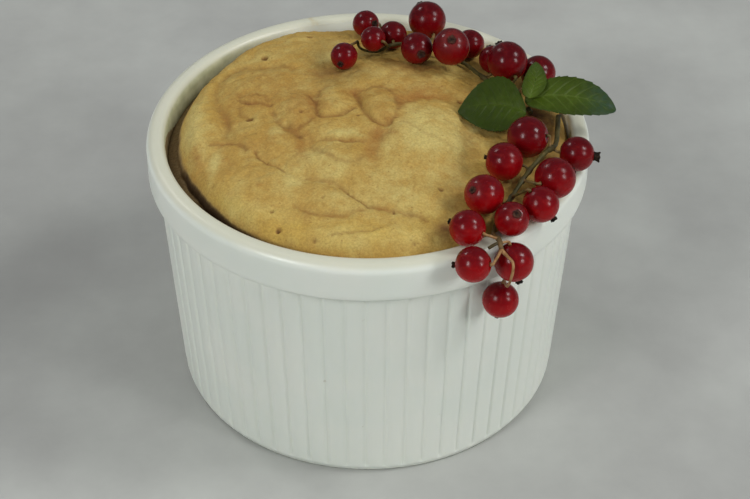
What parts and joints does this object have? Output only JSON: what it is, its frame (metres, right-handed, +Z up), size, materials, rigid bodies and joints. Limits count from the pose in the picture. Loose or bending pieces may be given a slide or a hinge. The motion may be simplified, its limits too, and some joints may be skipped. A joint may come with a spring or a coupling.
{
  "type": "souffle in dish",
  "caption": "Baked souffle with a domed, creased golden crust in a white fluted porcelain dish, topped with red currant sprigs and mint leaves.",
  "frame": {"origin": "centre of the dish's flat underside", "axes": "+Z up along the dish's axis, -Y towards the side where the currant sprig hangs over the rim, +X towards the mint"},
  "size_m": [0.1211, 0.1188, 0.0918],
  "materials": {
    "porcelain": "white glossy glaze",
    "crust": "baked egg crust, golden tan, dry and finely porous",
    "currant": "glossy translucent deep red skin",
    "stalk": "matt brownish green stalk",
    "leaf": "satin green leaf with pale veins"
  },
  "bodies": {
    "root": {"dish": "porcelain", "souffle": "crust", "currant_back_1": "currant", "currant_back_2": "currant", "currant_back_3": "currant", "currant_back_4": "currant", "currant_back_5": "currant", "currant_back_6": "currant", "currant_back_7": "currant", "currant_back_8": "currant", "currant_back_9": "currant", "currant_back_10": "currant", "currant_back_11": "currant", "currant_front_1": "currant", "currant_front_2": "currant", "currant_front_3": "currant", "currant_front_4": "currant", "currant_front_5": "currant", "currant_front_6": "currant", "currant_front_7": "currant", "currant_front_8": "currant", "currant_hanging_1": "currant", "currant_hanging_2": "currant", "currant_hanging_3": "currant", "stalk_back": "stalk", "stalk_front": "stalk", "mint_leaf_left": "leaf", "mint_leaf_right": "leaf", "mint_leaf_small": "leaf", "mint_stalk": "stalk"}
  },
  "joints": []
}
